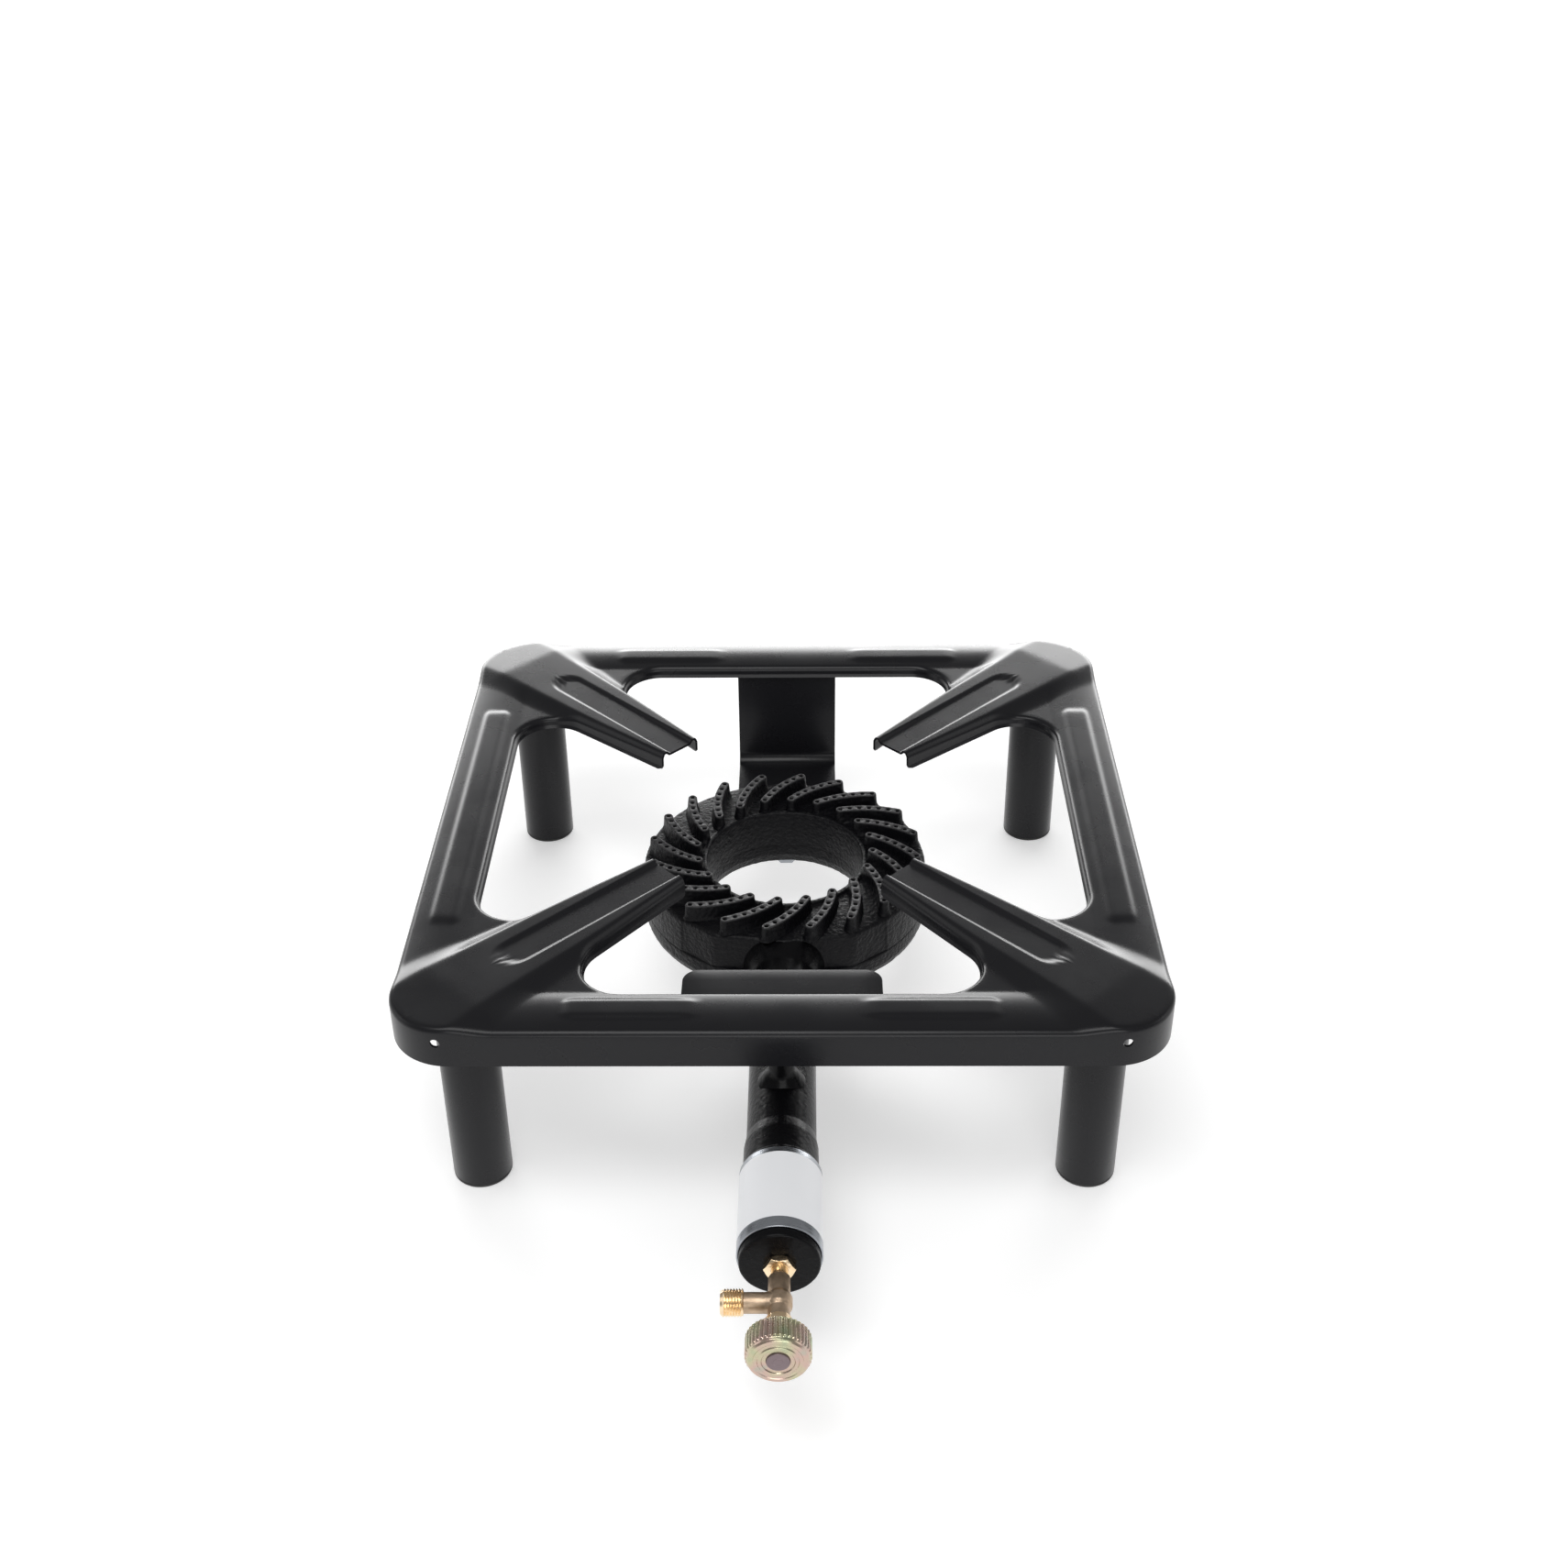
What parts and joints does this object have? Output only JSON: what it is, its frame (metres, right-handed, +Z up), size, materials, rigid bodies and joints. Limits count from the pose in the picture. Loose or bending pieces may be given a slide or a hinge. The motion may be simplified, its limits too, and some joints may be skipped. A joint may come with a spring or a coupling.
{
  "type": "gas burner stand",
  "caption": "Low gas ring burner in a square pressed steel stand on tube legs, with a mixing tube, a turning air sleeve and a needle valve with a fluted knob",
  "frame": {"origin": "on the floor, under the middle of the whole stand's length and width", "axes": "+Z is up, -Y is the front with the knob, +X is to the right seen from the front; the gas inlet is on the -X side"},
  "size_m": [0.4, 0.5554, 0.1298],
  "materials": {
    "black_enamel": "satin black enamel on pressed steel",
    "black_plastic": "matte black plastic",
    "zinc_steel": "zinc-plated steel",
    "cast_burner": "rough black casting",
    "brass": "cast and turned brass",
    "packing": "white sealing ring",
    "passivated_zinc": "yellow-green passivated zinc",
    "cap": "dark red-grey disc"
  },
  "bodies": {
    "stand": {"top_frame": "black_enamel", "leg_front_left": "black_enamel", "leg_front_right": "black_enamel", "leg_rear_left": "black_enamel", "leg_rear_right": "black_enamel", "leg_caps": "black_plastic", "front_plate": "black_enamel", "rear_bracket": "black_enamel", "bracket_bolt": "zinc_steel", "bracket_washer": "zinc_steel", "boss_screw": "zinc_steel", "boss_washer": "zinc_steel", "burner_head": "cast_burner", "burner_base": "cast_burner", "base_screws": "zinc_steel", "hex_bushing": "brass", "injector": "brass", "valve_body": "brass", "stem_packing": "packing", "gland_nut": "brass"},
    "control": {"spindle": "brass", "knob": "passivated_zinc", "knob_screw": "zinc_steel", "knob_cap": "cap"},
    "sleeve": {"air_sleeve": "zinc_steel"}
  },
  "joints": [
    {"name": "knob_turn", "type": "hinge", "parent": "stand", "child": "control", "pos_m": [0, -0.27, 0.067], "axis": [0, -1, 0], "range_deg": [0, 540]},
    {"name": "sleeve_turn", "type": "hinge", "parent": "stand", "child": "sleeve", "pos_m": [0, -0.19, 0.067], "axis": [0, -1, 0], "range_deg": [-45, 45]}
  ]
}
